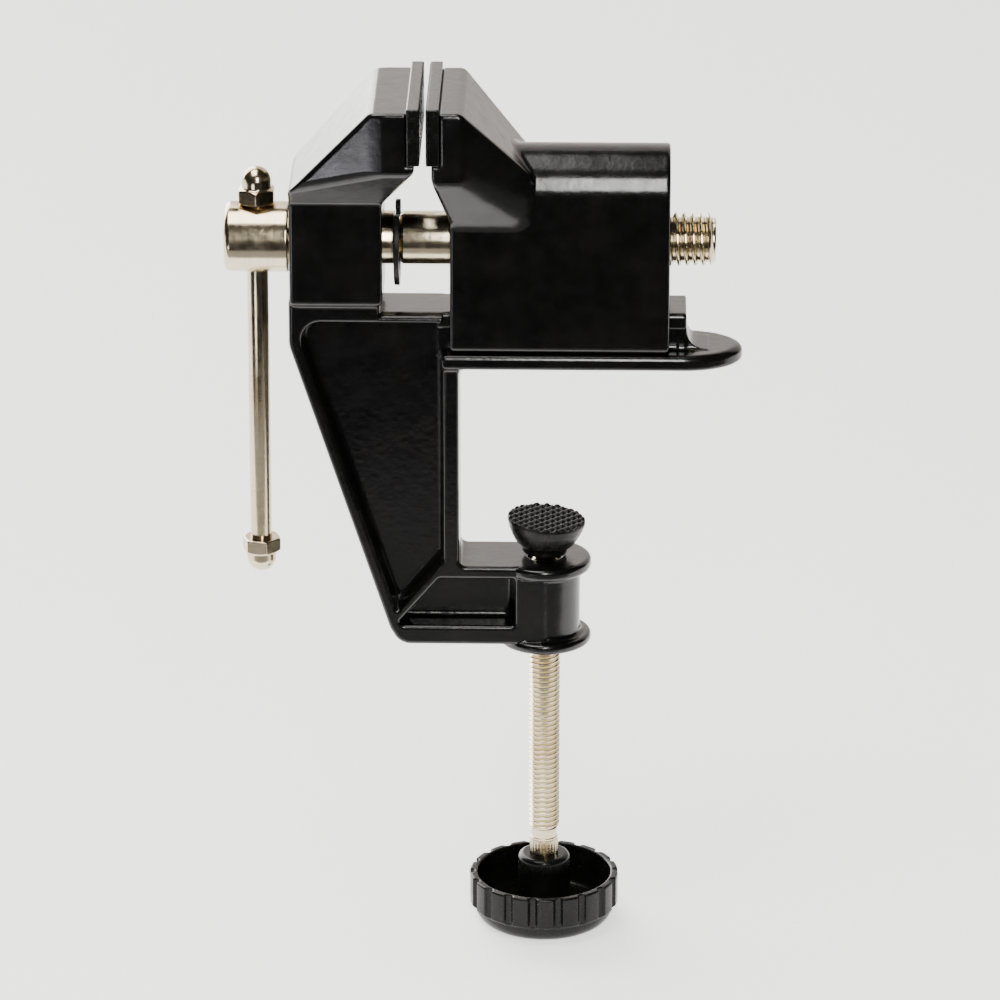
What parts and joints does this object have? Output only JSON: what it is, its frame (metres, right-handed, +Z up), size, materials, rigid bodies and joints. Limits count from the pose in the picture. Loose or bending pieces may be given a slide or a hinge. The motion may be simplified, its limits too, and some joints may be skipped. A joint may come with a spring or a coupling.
{
  "type": "bench vise",
  "caption": "Small table-clamping bench vise: sliding jaw on a rail, screw with tommy bar, C-frame with swivel-pad clamp screw and ribbed hand knob.",
  "frame": {"origin": "on the clamp screw's axis at the underside of the table plate", "axes": "+X along the main screw from its head to its threaded end, +Y across the jaws, +Z up"},
  "size_m": [0.0964, 0.03, 0.1681],
  "materials": {
    "casting": "gloss black enamel",
    "jaw_steel": "dark oiled steel",
    "plated_steel": "bright nickel plate",
    "black_steel": "blackened, oiled",
    "knob_plastic": "satin black moulding"
  },
  "bodies": {
    "frame_body": {"frame": "casting", "fixed_jaw_plate": "jaw_steel", "fixed_jaw_screws": "jaw_steel"},
    "jaw_body": {"moving_jaw": "casting", "moving_jaw_plate": "jaw_steel", "moving_jaw_screws": "jaw_steel"},
    "spindle_body": {"main_screw": "plated_steel", "retaining_clip": "black_steel"},
    "bar_body": {"tommy_bar": "plated_steel", "upper_cap_nut": "plated_steel", "lower_cap_nut": "plated_steel"},
    "carrier_body": {"swivel_ball": "plated_steel"},
    "clamp_body": {"clamp_screw": "plated_steel", "hand_knob": "knob_plastic"},
    "pad_body": {"clamp_pad": "black_steel"}
  },
  "joints": [
    {"name": "spindle_turn", "type": "hinge", "parent": "frame_body", "child": "spindle_body", "pos_m": [0, 0, 0.0234], "axis": [1, 0, 0], "range_deg": [-6720, 216]},
    {"name": "jaw_slide", "type": "slide", "parent": "frame_body", "child": "jaw_body", "axis": [1, 0, 0], "range_m": [-0.00091, 0.02801]},
    {"name": "bar_slide", "type": "slide", "parent": "spindle_body", "child": "bar_body", "axis": [0, 0, 1], "range_m": [0, 0.053]},
    {"name": "clamp_slide", "type": "slide", "parent": "frame_body", "child": "carrier_body", "axis": [0, 0, 1], "range_m": [0, 0.03061]},
    {"name": "clamp_turn", "type": "hinge", "parent": "carrier_body", "child": "clamp_body", "pos_m": [0, 0, -0.0364], "axis": [0, 0, 1], "range_deg": [0, 11016]},
    {"name": "pad_swivel", "type": "hinge", "parent": "carrier_body", "child": "pad_body", "pos_m": [0, 0, -0.0364], "axis": [0, 1, 0], "range_deg": [-12.5, 3.5]}
  ],
  "couplings": [
    {"joint": "jaw_slide", "follows": "spindle_turn", "m_per_rad": -0.00023873},
    {"joint": "clamp_slide", "follows": "clamp_turn", "m_per_rad": 0.00015915}
  ]
}
